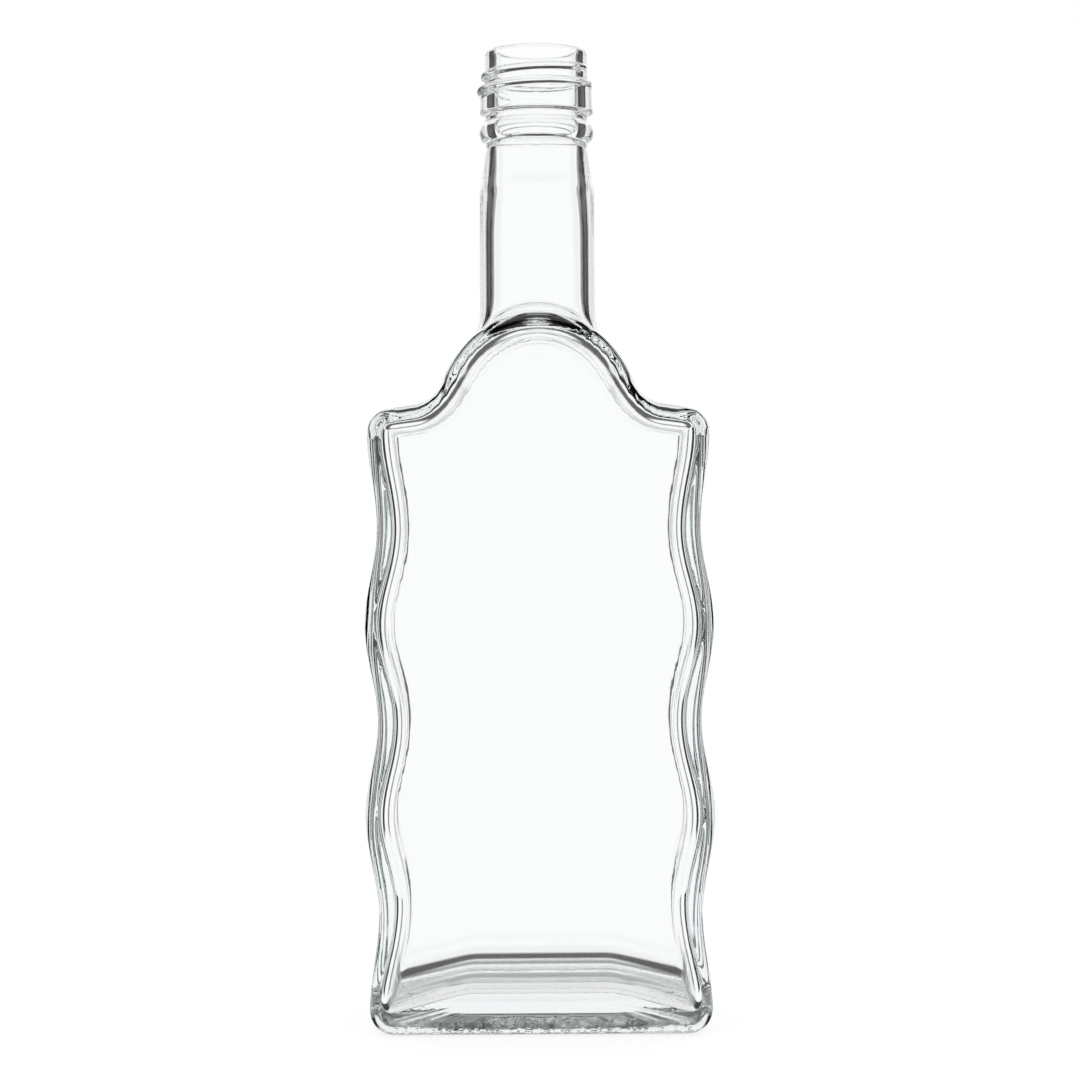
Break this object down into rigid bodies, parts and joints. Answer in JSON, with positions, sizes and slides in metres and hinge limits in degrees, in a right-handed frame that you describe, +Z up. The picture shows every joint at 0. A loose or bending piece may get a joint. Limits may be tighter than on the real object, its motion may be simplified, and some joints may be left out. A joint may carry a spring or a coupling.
{
  "type": "glass bottle",
  "caption": "Flat flask bottle of clear glass with waved sides, a domed shoulder, a round neck and a finish for a roll-on screw cap.",
  "frame": {"origin": "middle of the surface that the bottle stands on", "axes": "+Z up along the neck, +X across the broad panels, the front panel faces -Y"},
  "size_m": [0.0932, 0.056, 0.2654],
  "materials": {
    "clear_glass": "polished"
  },
  "bodies": {
    "root": {"bottle": "clear_glass"}
  },
  "joints": []
}
